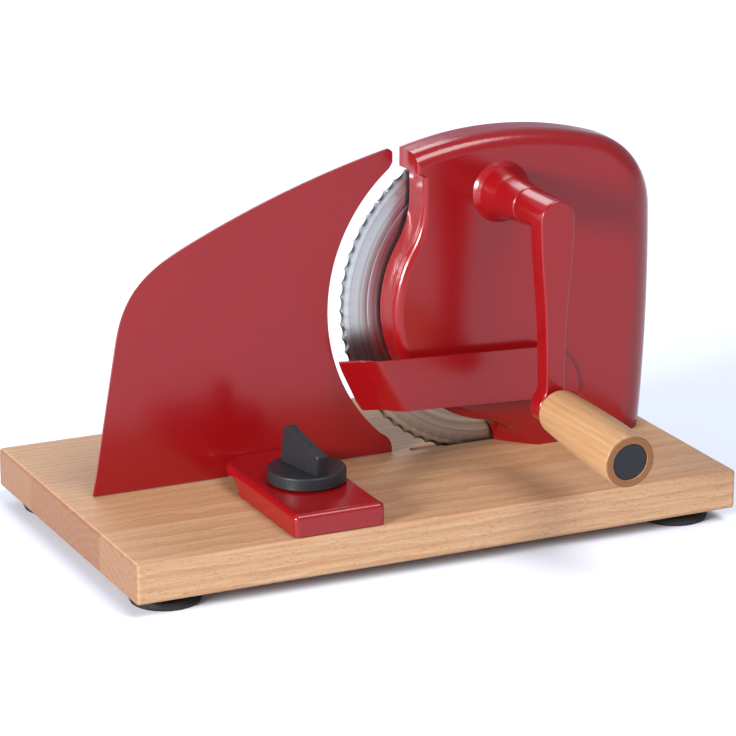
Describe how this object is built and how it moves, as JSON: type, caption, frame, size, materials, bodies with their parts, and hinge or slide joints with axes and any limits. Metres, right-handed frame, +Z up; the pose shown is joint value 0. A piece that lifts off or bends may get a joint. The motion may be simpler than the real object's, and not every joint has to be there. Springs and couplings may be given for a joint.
{
  "type": "manual food slicer",
  "caption": "Hand-cranked food slicer: serrated round blade in a rounded housing on a wooden board, with a curved sliding fence, clamp knob, slice strip and geared crank with wooden grip.",
  "frame": {"origin": "centre of the footprint at table height, under the feet", "axes": "+X along the board from the fence end to the housing end, +Y away from the crank side towards the food side, +Z up"},
  "size_m": [0.35, 0.2708, 0.2101],
  "materials": {
    "beech": "oiled beech",
    "grip_wood": "turned beech, satin",
    "red_paint": "satin powder coat",
    "blade_steel": "ground stainless",
    "steel": "turned steel",
    "zinc": "zinc plated",
    "bronze": "sintered bronze",
    "gear_plastic": "moulded acetal",
    "black_plastic": "fine grained",
    "rubber": "matt"
  },
  "bodies": {
    "base": {"board": "beech", "foot_front_left": "rubber", "foot_front_right": "rubber", "foot_back_left": "rubber", "foot_back_right": "rubber", "foot_screws": "zinc", "housing_shell": "red_paint", "gear_cover": "zinc", "cover_screws": "zinc", "housing_screws": "zinc", "front_bush": "bronze", "rear_bush": "bronze", "blade_axle": "steel", "axle_washer": "zinc", "axle_screw": "zinc", "guide_block": "black_plastic", "block_screws": "zinc", "clamp_bolt": "zinc", "deflector_band": "red_paint", "deflector_screws": "red_paint"},
    "crank": {"crank_arm": "red_paint", "crank_shaft": "steel", "hub_grub_screw": "steel", "pinion": "steel", "shaft_ring": "steel", "grip_pin": "steel"},
    "grip": {"grip": "grip_wood", "grip_cap": "black_plastic"},
    "blade": {"blade": "blade_steel", "blade_gear": "gear_plastic", "blade_screws": "zinc", "axle_bush": "bronze"},
    "fence": {"fence_plate": "red_paint", "fence_bracket": "red_paint", "fence_rivets": "red_paint"},
    "knob": {"clamp_knob": "black_plastic", "knob_insert": "bronze", "clamp_washer": "zinc"}
  },
  "joints": [
    {"name": "crank_turn", "type": "hinge", "parent": "base", "child": "crank", "pos_m": [0.073, -0.07157, 0.1778], "axis": [0, 1, 0], "continuous": true},
    {"name": "grip_spin", "type": "hinge", "parent": "crank", "child": "grip", "pos_m": [0.073, -0.05307, 0.0734], "axis": [0, 0.9982, 0.0593], "continuous": true},
    {"name": "blade_turn", "type": "hinge", "parent": "base", "child": "blade", "pos_m": [0.078, 0.03493, 0.115], "axis": [0, 1, 0], "continuous": true},
    {"name": "fence_slide", "type": "slide", "parent": "base", "child": "fence", "axis": [0, -1, 0], "range_m": [0, 0.015]},
    {"name": "clamp_turn", "type": "hinge", "parent": "base", "child": "knob", "pos_m": [-0.0581, -0.02107, 0.043], "axis": [0, 0, 1], "range_deg": [0, 180]}
  ],
  "couplings": [
    {"joint": "blade_turn", "follows": "crank_turn", "ratio": -0.46512}
  ]
}
